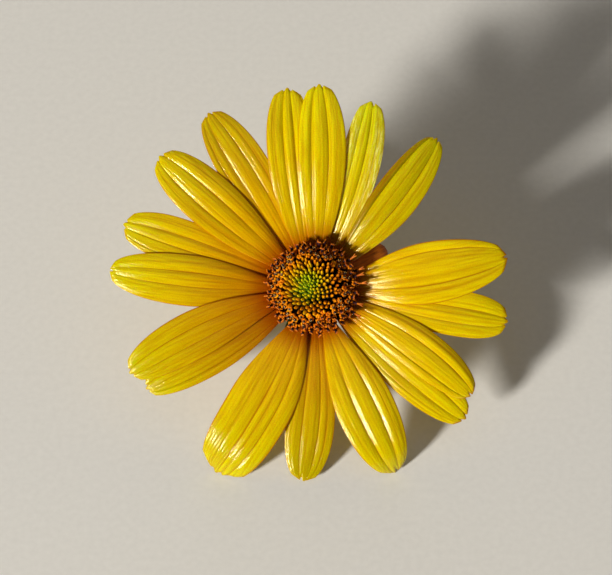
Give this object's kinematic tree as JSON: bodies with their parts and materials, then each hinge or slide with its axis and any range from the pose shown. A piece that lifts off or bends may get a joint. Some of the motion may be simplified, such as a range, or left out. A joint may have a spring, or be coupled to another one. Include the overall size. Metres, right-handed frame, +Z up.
{
  "type": "yellow chamomile flower",
  "caption": "Yellow daisy-like flower head with long, overlapping ribbed petals round a domed disc of small florets, on a short cut stem, lying face up on the stem's end and its petal tips.",
  "frame": {"origin": "middle of the flower's bounding box, on the surface that it lies on", "axes": "+Z up; +X to the right of the face; +Y from the petals that touch the surface towards the stem's cut end. The face looks up and leans 33.4 degrees from level towards -Y."},
  "size_m": [0.064, 0.0524, 0.0372],
  "materials": {
    "petal": "waxy, finely veined fresh petal",
    "stunted_petal": "dull, brownish orange petal",
    "bract": "matte green leaf",
    "receptacle": "matte green plant tissue",
    "floret_green": "matte green buds",
    "floret_yellow": "matte yellow buds",
    "floret_orange": "matte orange buds",
    "floret_open": "velvety orange-brown florets",
    "stem": "fresh green stem with fine ridges"
  },
  "bodies": {
    "root": {"ray_petal_01": "petal", "ray_petal_02": "petal", "ray_petal_03": "petal", "ray_petal_04": "petal", "ray_petal_05": "petal", "ray_petal_06": "petal", "ray_petal_07": "petal", "ray_petal_08": "petal", "ray_petal_09": "petal", "ray_petal_10": "petal", "ray_petal_11": "petal", "ray_petal_12": "petal", "ray_petal_13": "petal", "ray_petal_14": "petal", "ray_petal_15": "petal", "ray_petal_16": "petal", "ray_petal_17": "petal", "ray_petal_stunted": "stunted_petal", "bract_outer_1": "bract", "bract_outer_2": "bract", "bract_outer_3": "bract", "bract_outer_4": "bract", "bract_outer_5": "bract", "bract_outer_6": "bract", "bract_outer_7": "bract", "bract_outer_8": "bract", "bract_inner_1": "bract", "bract_inner_2": "bract", "bract_inner_3": "bract", "bract_inner_4": "bract", "bract_inner_5": "bract", "bract_inner_6": "bract", "bract_inner_7": "bract", "bract_inner_8": "bract", "receptacle": "receptacle", "floret_buds_green": "floret_green", "floret_buds_yellow": "floret_yellow", "floret_buds_orange": "floret_orange", "florets_opening": "floret_open", "florets_open": "floret_open", "stem": "stem"}
  },
  "joints": []
}
